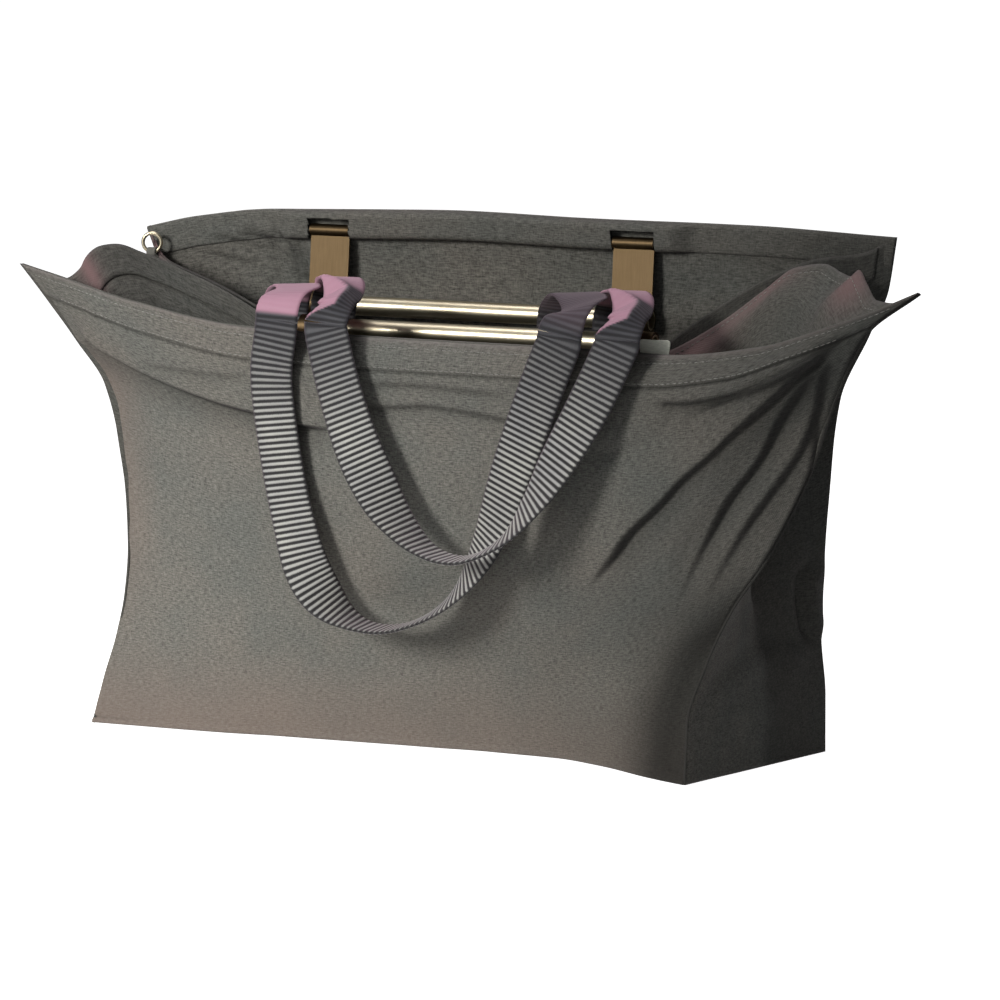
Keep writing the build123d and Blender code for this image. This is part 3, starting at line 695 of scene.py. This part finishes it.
# ---- hems and rod casings ----
front_casing, rear_casing = box_mm("front_rod_casing"), box_mm("rear_rod_casing")
arm_half = (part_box("front_arm_left")[1].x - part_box("front_arm_left")[0].x) / 2 / MM


def middles(*nodes):
    return [0.5 * (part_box(n)[0].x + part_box(n)[1].x) / MM for n in nodes]


# Section of a turned-in hem: place along it, share of its bulk, distance below the rim.
HEM = 15.5
SLEEVE_SECTION = [(0.0, 0.0, 0.4), (0.12, 0.55, 0.9), (0.22, 0.92, 2.2), (0.32, 1.0, 4.0), (0.80, 1.0, 12.2),
                  (0.90, 0.90, 14.4), (0.96, 0.6, HEM), (1.0, 0.1, HEM + 0.2)]


def sleeve_surface(wall_surface, inwards, casing, cover):
    """Turned-in hem that swells over the hinge rod's sleeve and lies flat beyond it."""
    low, high = casing

    def surface(u, v):
        rim = wall_surface(u, np.ones_like(v))
        section = through(SLEEVE_SECTION, v)
        down = section[..., 1]
        t = 1 - down / rim[..., 2]
        on_wall = wall_surface(u, t)
        x = on_wall[..., 0]
        inside = on_wall[..., 1] + inwards * (CLOTH / MM + 0.15)
        bulk = step(low.x - 13, low.x + 3, x) * (1 - step(high.x - 3, high.x + 13, x))
        depth = mix(1.3, np.maximum(np.abs(cover - inside), 1.3), bulk)
        puff = 0.25 * np.sin(x * 0.35) * np.sin(down * 0.4)
        y = inside + inwards * (depth * section[..., 0] + puff * (section[..., 0] > 0.5))
        return np.stack([x, y, on_wall[..., 2]], -1)
    return surface


front_sleeve = sleeve_surface(front_wall, 1, front_casing, front_casing[1].y + 0.5)
rear_sleeve = sleeve_surface(back_wall, -1, rear_casing, rear_casing[0].y - 0.5)


def cut_windows(piece, middles_x, half, low, high, y_low, y_high):
    """Opens the sleeve where the arms come out: removes the faces inside a box."""
    mesh = piece.data
    centre = np.zeros(len(mesh.polygons) * 3, np.float32)
    mesh.polygons.foreach_get("center", centre)
    centre = centre.reshape(-1, 3) / MM
    inside = np.zeros(len(centre), bool)
    for x in middles_x:
        inside |= ((np.abs(centre[:, 0] - x) < half) & (centre[:, 2] > low) & (centre[:, 2] < high)
                   & (centre[:, 1] > y_low) & (centre[:, 1] < y_high))
    work = bmesh.new()
    work.from_mesh(mesh)
    work.faces.ensure_lookup_table()
    bmesh.ops.delete(work, geom=[work.faces[i] for i in np.nonzero(inside)[0]], context="FACES")
    work.to_mesh(mesh)
    work.free()


front_band = grid_object("front_hem_band", front_sleeve, 420, 30, (0.48, 0.02), 1, thickness=0.8 * MM)
rear_band = grid_object("rear_hem_band", rear_sleeve, 420, 30, (0.43, 0.02), 1, back_tints, thickness=0.8 * MM)
front_arms = middles("front_arm_left", "front_arm_right")
rear_arms = middles("rear_arm_left", "rear_arm_right")
cut_windows(front_band, front_arms, arm_half + 0.8, 0, front_casing[1].z - 1.5, front_casing[1].y - 3.5, 100)
cut_windows(rear_band, rear_arms, arm_half + 0.8, 0, rear_casing[1].z - 1.0, -100, rear_casing[0].y + 3.5)
belongs(front_band, "shell_fabric", "front_hem", "front_rod_casing")
belongs(rear_band, "shell_fabric", "back_hem", "rear_rod_casing")

for side, surface, tints, legs in (
    ("left", left_gusset, left_side_tints, ((0.03, 0.50), (0.56, 0.97))),
    ("right", right_gusset, right_side_tints, ((0.03, 0.56), (0.62, 0.97))),
):
    for part, leg, cad in zip(("front", "back"), legs, ([f"{side}_gusset_hem"], [])):
        band = grid_object(f"{side}_hem_band_{part}", surface, 90, 8, (0.28, 0.25), 1, tints,
                           (leg, (0.94, 0.999)), thickness=0.9 * MM, offset=CLOTH + 0.1 * MM)
        belongs(band, "shell_fabric", *cad)


# ---- stitches ----
def stitch_row(name, surface, u_span, below, side, offset, pitch=3.1, length=2.2, thick=0.5):
    """A row of stitches at a distance below the rim, lying on one face of the cloth."""
    u = np.linspace(*u_span, 900)
    t = 1 - below / surface(u, np.ones_like(u))[..., 2]
    nearby = 0.004
    line = surface(u, t)
    upward = surface(u, t + nearby) - surface(u, t - nearby)
    out = side * unit(np.cross(np.gradient(line, axis=0), upward))
    line = line + out * offset
    s = arc_length(line)
    points, faces = [], []
    rings, sides = (0.0, 0.12, 0.5, 0.88, 1.0), 6
    for start in np.arange(pitch, s[-1] - pitch, pitch):
        jitter = rng.uniform(-0.12, 0.12)
        places = [start + jitter + r * length for r in rings]
        centre = np.stack([np.interp(places, s, line[:, k]) for k in range(3)], -1)
        normal = np.array([np.interp(places[2], s, out[:, k]) for k in range(3)])
        across = np.cross(unit(centre[-1] - centre[0]), normal)
        first = len(points)
        for r, c in zip(rings, centre):
            swell = math.sin(math.pi * min(max(r, 0.06), 0.94)) ** 0.5
            sink = -0.30 * (1 - swell)
            for k in range(sides):
                a = 2 * math.pi * k / sides
                point = c + normal * (sink + 0.5 * thick * swell * math.sin(a))
                points.append((point + across * (0.5 * thick * swell * math.cos(a))) * MM)
        for i in range(len(rings) - 1):
            for k in range(sides):
                a, b = first + i * sides + k, first + i * sides + (k + 1) % sides
                faces.append((a, b, b + sides, a + sides))
        faces.append(tuple(first + k for k in reversed(range(sides))))
        faces.append(tuple(first + (len(rings) - 1) * sides + k for k in range(sides)))
    return belongs(mesh_object(name, points, faces, thread), "shell_fabric")


for name, surface, u_span, below, side, offset in (
    ("front_top_stitches", front_wall, (0.01, 0.99), 4.0, 1, 0.15),
    ("front_hem_stitches", front_wall, (0.03, 0.97), 14.0, 1, 0.12),
    ("rear_top_stitches", back_wall, (0.01, 0.99), 4.0, -1, 0.15),
    ("rear_hem_stitches", back_wall, (0.03, 0.97), 14.5, -1, 0.12),
    ("left_side_stitches", left_gusset, (0.05, 0.52), 4.0, -1, 0.15),
    ("right_side_stitches", right_gusset, (0.05, 0.58), 4.0, -1, 0.15),
):
    stitch_row(name, surface, u_span, below, side, offset)


# ---- webbing handles ----
WEB_WIDTH, WEB_THICK = 24.0, 1.7
RIB_PITCH, RIB_DEPTH = 3.1, 0.42
PLACES_PER_RIB = 9
PLACES_ACROSS = 17
TURN_BACK = math.radians(62)                  # how far a bent edge of the webbing is turned back
SHINE_BELOW, SHINE_OVER = 231, 55           # height below which the ribs are painted paler as a painted shine, and over what drop


def ribbon(name, centre, across, tint=None, turned=None):
    """Ribbed webbing along a line; across holds the direction of its width at each point.

    turned gives, along the line, the place across the webbing where it is bent back, and tint gives
    the painted pink light from the points of the line and how far past that bend a place lies."""
    s = arc_length(centre)
    count = int(s[-1] / (RIB_PITCH / PLACES_PER_RIB)) + 1
    places = np.linspace(0, s[-1], count)
    c, w = (np.stack([np.interp(places, s, line[:, k]) for k in range(3)], -1) for line in (centre, across))
    for _ in range(3):
        c[1:-1] = (c[:-2] + 2 * c[1:-1] + c[2:]) / 4
    along = unit(np.gradient(c, axis=0))
    w = unit(w - along * (w * along).sum(1, keepdims=True))
    out = np.cross(w, along)
    phase = 2 * math.pi * places / (s[-1] / round(s[-1] / RIB_PITCH))
    rib = (0.5 + 0.5 * np.cos(phase)) ** 0.95
    # Painted shine: the ribs are painted paler below a height, where the webbing tilts out to the light.
    wear_and_shine = np.clip((SHINE_BELOW - c[:, 2]) / SHINE_OVER, 0, 1)
    rib_share = 0.25 + 0.75 * np.clip(3 * wear_and_shine, 0, 1)
    share = np.linspace(-1, 1, PLACES_ACROSS)
    lip = np.sqrt(np.clip(1 - np.abs(share) ** 10, 0, 1))
    ridge = turned(c) if turned else np.ones(count)
    ring, ribs, coords, casts = [], [], [], []
    for face in (1, -1):
        for a, edge in zip(share[::face], lip[::face]):
            thick = 0.5 * WEB_THICK * (0.25 + 0.75 * edge) + RIB_DEPTH * rib_share * (rib - 0.5) * edge
            width = 0.5 * WEB_WIDTH + 0.12 * (rib - 0.5)
            past = np.maximum(a - ridge, 0)
            bent = step(0, 0.12, past)[:, None]
            lift = mix(out, out * math.cos(TURN_BACK) - w * math.sin(TURN_BACK), bent)
            reach = a - past * (1 - math.cos(TURN_BACK))
            ring.append(c + w * (reach * width)[:, None] + out * (past * width * math.sin(TURN_BACK))[:, None]
                        + lift * (face * thick)[:, None])
            ribs.append(rib * (0.35 + 0.65 * edge))
            coords.append(np.stack([np.full(count, a * WEB_WIDTH / 2), places, np.full(count, 9.0 * face)], -1))
            casts.append(tint(c, past) if tint else np.zeros(count))
    made = ring_mesh(name, np.stack(ring, 1), webbing)
    paint_cloth(made.data, np.stack(coords, 1) * MM)
    paint(made.data, "rib", np.stack(ribs, 1))
    paint(made.data, "painted_pink_light", np.stack(casts, 1))
    paint(made.data, "wear_and_painted_shine", np.repeat(wear_and_shine[:, None], len(ring), axis=1))
    return made


hinge_y, hinge_z = handle_hinge.y / MM, handle_hinge.z / MM


def leg_middles(ends):
    """x of the two legs of a handle, from the outer sides of its still ends."""
    low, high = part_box(ends)
    return low.x / MM + WEB_WIDTH / 2, high.x / MM - WEB_WIDTH / 2


# Hanging parts: share of the way from leg to leg, distance out, share of the drop, turn in degrees.
FRONT_LOOP = [(0, 0, 0, 0), (-0.004, 0, 0.04, 0), (-0.02, 0, 0.20, 0), (0.01, -1.5, 0.46, 0),
              (0.045, -4, 0.66, 4), (0.09, -7, 0.83, 26), (0.18, -9, 0.95, 60), (0.305, -10, 1, 90),
              (0.45, -10, 0.975, 98), (0.60, -8, 0.875, 118), (0.73, -5, 0.69, 150),
              (0.835, -2, 0.425, 172), (0.937, -0.5, 0.165, 180), (0.992, 0, 0.035, 180), (1, 0, 0, 180)]
REAR_LOOP = [(0, 0, 0, 0), (0.004, 0.2, 0.05, 0), (0.055, 5, 0.255, 0), (0.125, 10, 0.485, 8),
             (0.20, 14, 0.67, 28), (0.285, 17, 0.835, 56), (0.40, 19, 0.97, 84), (0.53, 20, 1, 96),
             (0.66, 19, 0.905, 114), (0.76, 17, 0.73, 140), (0.84, 13, 0.53, 164),
             (0.925, 7, 0.29, 178), (0.992, 0.3, 0.05, 180), (1, 0, 0, 180)]
FRONT_DROP, REAR_DROP = 158.5, 113.5


def loop_ribbon(name, table, legs, drop):
    line = dense([(mix(*legs, share), hinge_y - out, hinge_z - down * drop, turn)
                  for share, out, down, turn in table], 12)
    turn = np.radians(line[:, 3])
    across = np.stack([-np.cos(turn), -np.sin(turn), 0 * turn], -1)
    return ribbon(name, line[:, :3], across)


# Still ends of the handles: over the rim, across the front bow, down inside and to their sewn ends.
# Distance from the leg in x, y, z, then the turn and the roll of the webbing in degrees.
OVER_RIM = [(0, -85, 229.5, 0, 0), (0.2, -84.7, 234, 0, 0), (0.6, -82, 239, 0, 1), (1, -77, 242, 0, 3),
            (1, -69, 243.2, 2, 4), (-1, -58, 243.2, 12, 4), (-8, -43, 242.8, 26, 2), (-18, -29, 241, 30, 0),
            (-26, -19, 236, 26, 0), (-30, -14.5, 228, 18, 0), (-31, -13.3, 215, 8, 0)]
OVER_RIM_LEANING = [(0, -85, 229.5, 0, 2), (0.8, -84.7, 233, 0, 5), (2.2, -82.4, 237.4, 0, 10),
                    (3.6, -77.5, 240.6, 2, 15), (4.2, -69, 242.2, 5, 18), (2, -58, 242.8, 14, 15),
                    (-6.5, -43, 244.2, 26, 7), (-17.5, -29, 243.4, 30, 0), (-26, -19, 236.5, 26, 0),
                    (-30, -14.5, 228, 18, 0), (-31, -13.3, 215, 8, 0)]
OVER_RIM_TURNED = [(0, -85, 229.5, 0, 0), (0.5, -84.7, 234, 10, -3), (1.5, -83, 239.5, 26, -12),
                   (2.4, -78.5, 244, 34, -28), (2, -70.5, 246.6, 29, -38), (-2, -60, 247.2, 26, -32),
                   (-9, -47, 247.4, 28, -10), (-18, -33, 246.2, 30, -1), (-25, -20, 238.8, 26, 0),
                   (-30, -14.5, 229, 18, 0), (-31, -13.3, 215, 8, 0)]
FRONT_FOOT = [(-31, -13.3, 200, 0, 0), (-31, -13.3, 178, 0, 0), (-31, -16, 162, 0, 0), (-31, -27, 140, 0, 0),
              (-31, -38, 122, 0, 0), (-31, -43, 108, 0, 0), (-31, -43.5, 80, 0, 0)]
REAR_FOOT = [(-31, -13.3, 190, 0, 0), (-31, -13.3, 165, 0, 0), (-31, -10, 147, 0, 0), (-31, 4, 139, 0, 0),
             (-31, 24, 138.5, 0, 0), (-31, 38, 143, 0, 0), (-31, 44, 158, 0, 0), (-31, 44.5, 200, 0, 0)]


def root_ribbon(name, x, over, foot, tint, turned=None):
    line = dense(over + foot, 10)
    turn, roll = np.radians(line[:, 3]), np.radians(line[:, 4])
    across = np.stack([-np.cos(turn) * np.cos(roll), -np.sin(turn) * np.cos(roll), -np.sin(roll)], -1)
    return ribbon(name, line[:, :3] + [x, 0, 0], across, tint, turned)


def turned_edge(c):
    """The rear handle's ends are bent lengthwise where they go over the rim, and flat over the bow."""
    return mix(1.0, -0.25, step(228, 242, c[:, 2]) * (1 - step(-62, -48, c[:, 1])))


def rear_tint(c, past):
    """Painted pink light on the edge that is bent back, and behind the rim all over."""
    return 0.92 * np.maximum(step(0, 0.05, past) * step(228, 230, c[:, 2]),
                             step(-62, -54, c[:, 1]) * step(236, 240, c[:, 2]))


front_legs, rear_legs = leg_middles("front_handle_roots"), leg_middles("rear_handle_roots")
belongs(loop_ribbon("outer_handle_loop", FRONT_LOOP, front_legs, FRONT_DROP), "webbing",
        "front_handle_loop", body="front_handle")
belongs(loop_ribbon("inner_handle_loop", REAR_LOOP, rear_legs, REAR_DROP), "webbing",
        "rear_handle_loop", body="rear_handle")
# The tints paint pink light on the tops of the handles' ends.
for name, x, over, foot, tint, turned, cad in (
    ("outer_handle_left_end", front_legs[0], OVER_RIM, FRONT_FOOT,
     lambda c, past: 0.92 * step(232.0, 234.5, c[:, 2]), None, ["front_handle_roots"]),
    ("outer_handle_right_end", front_legs[1], OVER_RIM_LEANING, FRONT_FOOT,
     lambda c, past: 0.07 * step(230, 240, c[:, 2]), None, []),
    ("inner_handle_left_end", rear_legs[0], OVER_RIM_TURNED, REAR_FOOT, rear_tint, turned_edge,
     ["rear_handle_roots"]),
    ("inner_handle_right_end", rear_legs[1], OVER_RIM_TURNED, REAR_FOOT, rear_tint, turned_edge, []),
):
    belongs(root_ribbon(name, x, over, foot, tint, turned), "webbing", *cad)


# ---- label and ring tape ----
def strip(name, path, low_x, high_x, thick, finish, columns=8):
    """Tape along a path of (y, z), as wide as from low_x to high_x, with eased edges."""
    line = dense(path, 8)
    along = unit(np.gradient(line, axis=0))
    out = np.stack([-along[:, 1], along[:, 0]], -1)
    share = np.linspace(-1, 1, columns + 1)
    ring = []
    for face in (1, -1):
        for a in share[::face]:
            ease = 0.5 * thick * (0.45 + 0.55 * (1 - abs(a) ** 8))
            place = line + out * face * ease
            ring.append(np.column_stack([np.full(len(line), mix(low_x, high_x, 0.5 + 0.5 * a)), place]))
    return ring_mesh(name, np.stack(ring, 1), finish)


LABEL_DROP, LABEL_SHIFT = 4.5, 5              # the photo's label sits this far below and left of the solid
LABEL_CORNER = 1.7
low, high = box_mm("rim_label")
middle_x, label_y = 0.5 * (low.x + high.x), 0.5 * (low.y + high.y)


def label_surface(u, t):
    """Woven label: narrower at its sewn foot, rounded at the two upper corners."""
    z = mix(low.z, high.z, t) - LABEL_DROP
    into_corner = np.maximum(z - high.z + LABEL_DROP + LABEL_CORNER, 0) / LABEL_CORNER
    half = mix(6.9, 8.5, t) - LABEL_CORNER * (1 - np.sqrt(np.clip(1 - into_corner ** 2, 0, 1)))
    curl = 0.35 * np.cos(math.pi * (u - 0.5)) * t
    return np.stack([middle_x - LABEL_SHIFT + (2 * u - 1) * half, label_y + curl + 0 * z, z], -1)


belongs(grid_object("woven_label", label_surface, 40, 36, (0.017, 0.014), -1, thickness=0.7 * MM,
                    finish=woven), "label", "rim_label")

low, high = box_mm("ring_tab")
wire_low, wire_high = box_mm("corner_ring")
wire_y, wire_z = 0.5 * (wire_low.y + wire_high.y), wire_low.z + 1.0
belongs(strip("ring_tape", [(high.y + 0.5, low.z - 1), (high.y, low.z + 2.5), (wire_y + 1.9, wire_z + 0.9),
                            (wire_y + 0.7, wire_z + 2.0), (wire_y - 0.9, wire_z + 1.8),
                            (wire_y - 1.7, wire_z + 0.3), (wire_y - 0.9, wire_z - 1.5),
                            (high.y - 2.0, low.z - 0.2), (high.y - 0.8, low.z - 2.5)],
              low.x + 0.3, high.x - 0.3, 0.8, canvas), "shell_fabric", "ring_tab")


# ---- stage, light, camera ----
def lamp(name, kind, place, target, power, colour, **settings):
    light = bpy.data.lights.new(name, kind)
    light.energy, light.color = power, colour
    for key, value in settings.items():
        setattr(light, key, value)
    made = add_object(name, light)
    made.location = place
    made.rotation_euler = (Vector(target) - Vector(place)).to_track_quat("-Z", "Y").to_euler()


lamp("key", "SPOT", (-0.66, -1.98, 0.80), (-0.11, -0.06, 0.045), 235, (1.0, 0.985, 0.95),
     shadow_soft_size=0.33, spot_size=math.radians(26), spot_blend=1.0)
for name, place, target, size, power, colour in (
    ("fill", (0.3, -2.3, 0.5), (0, 0, 0.12), (1.6, 1.0), 4, (0.98, 0.99, 1.0)),
    ("top", (-0.25, -0.1, 1.9), (0.0, 0, 0.2), (0.8, 0.6), 11, (1.0, 0.97, 0.98)),
    ("back", (0.6, 2.3, 0.45), (0, 0, 0.12), (1.6, 0.8), 10, (0.98, 0.99, 1.0)),
):
    lamp(name, "AREA", place, target, power, colour, shape="RECTANGLE", size=size[0], size_y=size[1])

world = bpy.data.worlds.new("studio")
bpy.context.scene.world = world
world.use_nodes = True
tree = world.node_tree
tree.nodes.clear()
paths = node(tree, "LightPath").outputs
seen = maths(tree, "MAXIMUM", paths["Is Camera Ray"], paths["Is Transmission Ray"])
room = node(tree, "Background", {"Color": (0.95, 0.97, 1.0, 1), "Strength": 0.13})
white = node(tree, "Background", {"Color": (1, 1, 1, 1), "Strength": 1.0})
mixed = node(tree, "MixShader", {0: seen, 1: room.outputs[0], 2: white.outputs[0]})
tree.links.new(mixed.outputs[0], tree.nodes.new("ShaderNodeOutputWorld").inputs[0])

corners = [(x, y, 0) for x, y in ((-40, -40), (40, -40), (40, 40), (-40, 40))]
floor_material, tree, shader = new_material("pale_floor")
shader.inputs["Base Color"].default_value = (0.86, 0.86, 0.86, 1)
shader.inputs["Roughness"].default_value = 0.9
paths = node(tree, "LightPath").outputs
glow = node(tree, "Emission", {"Color": (1, 1, 1, 1), "Strength": 0.96})
nothing = node(tree, "Emission", {"Color": (0, 0, 0, 1), "Strength": 0.0})
lift = node(tree, "MixShader", {0: paths["Is Camera Ray"], 1: nothing.outputs[0], 2: glow.outputs[0]})
total = node(tree, "AddShader", {0: shader.outputs[0], 1: lift.outputs[0]})
tree.links.new(total.outputs[0], tree.nodes["Material Output"].inputs[0])
floor = mesh_object("floor", corners, [(0, 1, 2, 3)], floor_material)
floor.location.z = -0.0004                    # just below the bag's own floor

# The camera stands as the photograph's does.
AZIMUTH, ELEVATION = math.radians(24), math.radians(9)
DISTANCE = 2.3158
TARGET = Vector((0.0455, 0.0046, 0.1289))
back = Vector((math.sin(AZIMUTH) * math.cos(ELEVATION), -math.cos(AZIMUTH) * math.cos(ELEVATION),
               math.sin(ELEVATION)))
camera_data = bpy.data.cameras.new("camera")
camera_data.lens, camera_data.sensor_width = 158.4, 36
camera = add_object("camera", camera_data)
camera.location = TARGET + back * DISTANCE
camera.rotation_euler = (-back).to_track_quat("-Z", "Y").to_euler()
bpy.context.scene.camera = camera
bpy.context.scene.view_settings.view_transform = "Standard"

# ---- CAD nodes that are shown as they are ----
NODE_FINISH = {"bow_rod": champagne, "arm": bronze, "hem_rod": steel, "corner_ring": champagne,
               "base_board": board, "handle": webbing}
for name, piece in frame["nodes"].items():
    finish = next((material for part, material in NODE_FINISH.items() if part in name), canvas)
    for slot in piece.material_slots:
        slot.material = finish
